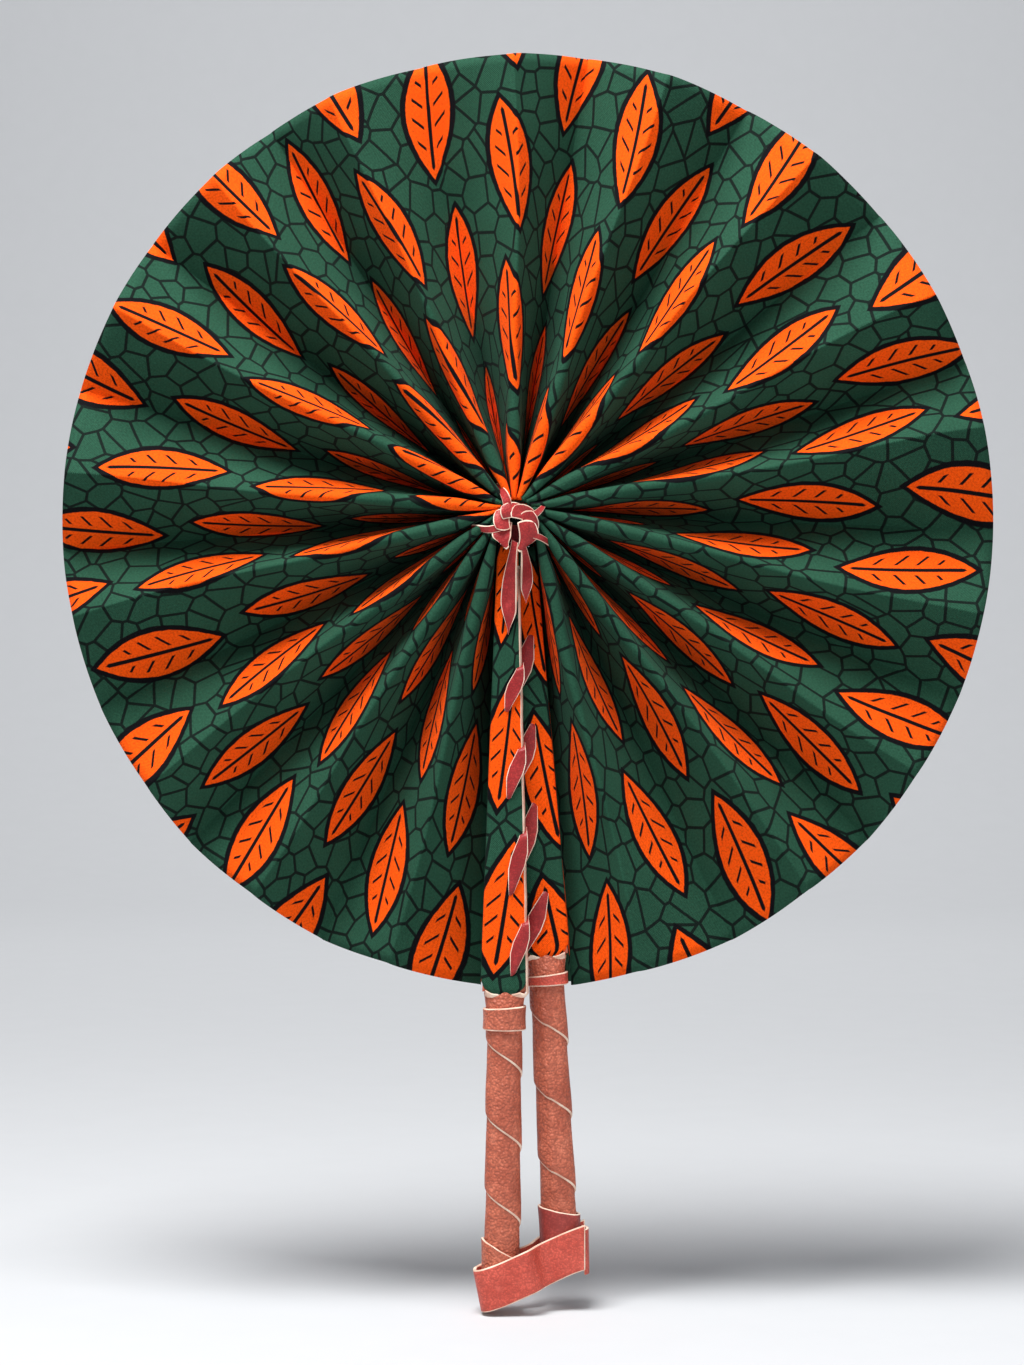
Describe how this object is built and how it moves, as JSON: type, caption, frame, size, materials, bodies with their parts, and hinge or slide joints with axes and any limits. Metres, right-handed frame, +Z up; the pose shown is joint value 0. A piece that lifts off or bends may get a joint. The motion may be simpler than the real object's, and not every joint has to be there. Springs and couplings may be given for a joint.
{
  "type": "folding hand fan",
  "caption": "Pleated cloth hand fan that opens to a full disc about its hub, with two laced guards, leather-wrapped handles and a strap that holds the handles together.",
  "frame": {"origin": "between the two handles at the middle of the grip, straight below the hub", "axes": "+Z up along the grip towards the hub, +X to the right seen from the printed front, front faces -Y"},
  "size_m": [0.3767, 0.0385, 0.5071],
  "materials": {
    "printed_cotton": "printed cotton, matt",
    "stick_wood": "bare wood",
    "grip_leather": "fine-grained vegetable-tanned leather",
    "lace_leather": "dyed goatskin thong with pale cut edges",
    "strap_leather": "dyed goatskin strap with pale cut edges"
  },
  "bodies": {
    "left_guard": {"left_stick": "stick_wood", "left_sheath": "grip_leather", "left_facing": "printed_cotton", "left_lacing": "lace_leather", "left_grip_wrap": "grip_leather", "left_collar": "grip_leather", "left_end_band": "strap_leather", "left_end_panel": "printed_cotton", "hub_thong": "lace_leather", "hub_knot": "lace_leather", "long_tail": "lace_leather", "short_tail": "lace_leather"},
    "right_guard": {"right_stick": "stick_wood", "right_sheath": "grip_leather", "right_facing": "printed_cotton", "right_lacing": "lace_leather", "right_grip_wrap": "grip_leather", "right_collar": "grip_leather", "right_end_panel": "printed_cotton", "strap_anchor": "strap_leather"},
    "pleat_01": {"pleat_01": "printed_cotton"},
    "pleat_02": {"pleat_02": "printed_cotton"},
    "pleat_03": {"pleat_03": "printed_cotton"},
    "pleat_04": {"pleat_04": "printed_cotton"},
    "pleat_05": {"pleat_05": "printed_cotton"},
    "pleat_06": {"pleat_06": "printed_cotton"},
    "pleat_07": {"pleat_07": "printed_cotton"},
    "pleat_08": {"pleat_08": "printed_cotton"},
    "pleat_09": {"pleat_09": "printed_cotton"},
    "pleat_10": {"pleat_10": "printed_cotton"},
    "pleat_11": {"pleat_11": "printed_cotton"},
    "pleat_12": {"pleat_12": "printed_cotton"},
    "pleat_13": {"pleat_13": "printed_cotton"},
    "pleat_14": {"pleat_14": "printed_cotton"},
    "pleat_15": {"pleat_15": "printed_cotton"},
    "pleat_16": {"pleat_16": "printed_cotton"},
    "pleat_17": {"pleat_17": "printed_cotton"},
    "strap": {"strap_loop": "strap_leather"}
  },
  "joints": [
    {"name": "fan_fold", "type": "hinge", "parent": "left_guard", "child": "right_guard", "pos_m": [0, 0, 0.255], "axis": [0, -1, 0], "range_deg": [0, 334], "deforming": ["pleat_01", "pleat_02", "pleat_03", "pleat_04", "pleat_05", "pleat_06", "pleat_07", "pleat_08", "pleat_09", "pleat_10", "pleat_11", "pleat_12", "pleat_13", "pleat_14", "pleat_15", "pleat_16", "pleat_17", "left_end_panel", "right_end_panel", "strap_loop"]},
    {"name": "pleat_01_turn", "type": "hinge", "parent": "left_guard", "child": "pleat_01", "pos_m": [0, 0, 0.255], "axis": [0, -1, 0], "range_deg": [0, 9.2]},
    {"name": "pleat_02_turn", "type": "hinge", "parent": "left_guard", "child": "pleat_02", "pos_m": [0, 0, 0.255], "axis": [0, -1, 0], "range_deg": [0, 27.9]},
    {"name": "pleat_03_turn", "type": "hinge", "parent": "left_guard", "child": "pleat_03", "pos_m": [0, 0, 0.255], "axis": [0, -1, 0], "range_deg": [0, 47.4]},
    {"name": "pleat_04_turn", "type": "hinge", "parent": "left_guard", "child": "pleat_04", "pos_m": [0, 0, 0.255], "axis": [0, -1, 0], "range_deg": [0, 67.2]},
    {"name": "pleat_05_turn", "type": "hinge", "parent": "left_guard", "child": "pleat_05", "pos_m": [0, 0, 0.255], "axis": [0, -1, 0], "range_deg": [0, 87.2]},
    {"name": "pleat_06_turn", "type": "hinge", "parent": "left_guard", "child": "pleat_06", "pos_m": [0, 0, 0.255], "axis": [0, -1, 0], "range_deg": [0, 107.2]},
    {"name": "pleat_07_turn", "type": "hinge", "parent": "left_guard", "child": "pleat_07", "pos_m": [0, 0, 0.255], "axis": [0, -1, 0], "range_deg": [0, 127.2]},
    {"name": "pleat_08_turn", "type": "hinge", "parent": "left_guard", "child": "pleat_08", "pos_m": [0, 0, 0.255], "axis": [0, -1, 0], "range_deg": [0, 147.2]},
    {"name": "pleat_09_turn", "type": "hinge", "parent": "left_guard", "child": "pleat_09", "pos_m": [0, 0, 0.255], "axis": [0, -1, 0], "range_deg": [0, 167.2]},
    {"name": "pleat_10_turn", "type": "hinge", "parent": "left_guard", "child": "pleat_10", "pos_m": [0, 0, 0.255], "axis": [0, -1, 0], "range_deg": [0, 187.2]},
    {"name": "pleat_11_turn", "type": "hinge", "parent": "left_guard", "child": "pleat_11", "pos_m": [0, 0, 0.255], "axis": [0, -1, 0], "range_deg": [0, 207.2]},
    {"name": "pleat_12_turn", "type": "hinge", "parent": "left_guard", "child": "pleat_12", "pos_m": [0, 0, 0.255], "axis": [0, -1, 0], "range_deg": [0, 227.2]},
    {"name": "pleat_13_turn", "type": "hinge", "parent": "left_guard", "child": "pleat_13", "pos_m": [0, 0, 0.255], "axis": [0, -1, 0], "range_deg": [0, 247.2]},
    {"name": "pleat_14_turn", "type": "hinge", "parent": "left_guard", "child": "pleat_14", "pos_m": [0, 0, 0.255], "axis": [0, -1, 0], "range_deg": [0, 267.2]},
    {"name": "pleat_15_turn", "type": "hinge", "parent": "left_guard", "child": "pleat_15", "pos_m": [0, 0, 0.255], "axis": [0, -1, 0], "range_deg": [0, 287]},
    {"name": "pleat_16_turn", "type": "hinge", "parent": "left_guard", "child": "pleat_16", "pos_m": [0, 0, 0.255], "axis": [0, -1, 0], "range_deg": [0, 306.5]},
    {"name": "pleat_17_turn", "type": "hinge", "parent": "left_guard", "child": "pleat_17", "pos_m": [0, 0, 0.255], "axis": [0, -1, 0], "range_deg": [0, 325.2]},
    {"name": "strap_tip", "type": "hinge", "parent": "right_guard", "child": "strap", "pos_m": [0.0186, 0, -0.04259], "axis": [0, -1, 0], "range_deg": [0, 60]}
  ],
  "couplings": [
    {"joint": "pleat_01_turn", "follows": "fan_fold", "ratio": 0.02713},
    {"joint": "pleat_02_turn", "follows": "fan_fold", "ratio": 0.08304},
    {"joint": "pleat_03_turn", "follows": "fan_fold", "ratio": 0.14134},
    {"joint": "pleat_04_turn", "follows": "fan_fold", "ratio": 0.2008},
    {"joint": "pleat_05_turn", "follows": "fan_fold", "ratio": 0.26067},
    {"joint": "pleat_06_turn", "follows": "fan_fold", "ratio": 0.32054},
    {"joint": "pleat_07_turn", "follows": "fan_fold", "ratio": 0.38041},
    {"joint": "pleat_08_turn", "follows": "fan_fold", "ratio": 0.44028},
    {"joint": "pleat_09_turn", "follows": "fan_fold", "ratio": 0.50015},
    {"joint": "pleat_10_turn", "follows": "fan_fold", "ratio": 0.56002},
    {"joint": "pleat_11_turn", "follows": "fan_fold", "ratio": 0.61989},
    {"joint": "pleat_12_turn", "follows": "fan_fold", "ratio": 0.67976},
    {"joint": "pleat_13_turn", "follows": "fan_fold", "ratio": 0.73963},
    {"joint": "pleat_14_turn", "follows": "fan_fold", "ratio": 0.7995},
    {"joint": "pleat_15_turn", "follows": "fan_fold", "ratio": 0.85896},
    {"joint": "pleat_16_turn", "follows": "fan_fold", "ratio": 0.91727},
    {"joint": "pleat_17_turn", "follows": "fan_fold", "ratio": 0.97318}
  ]
}
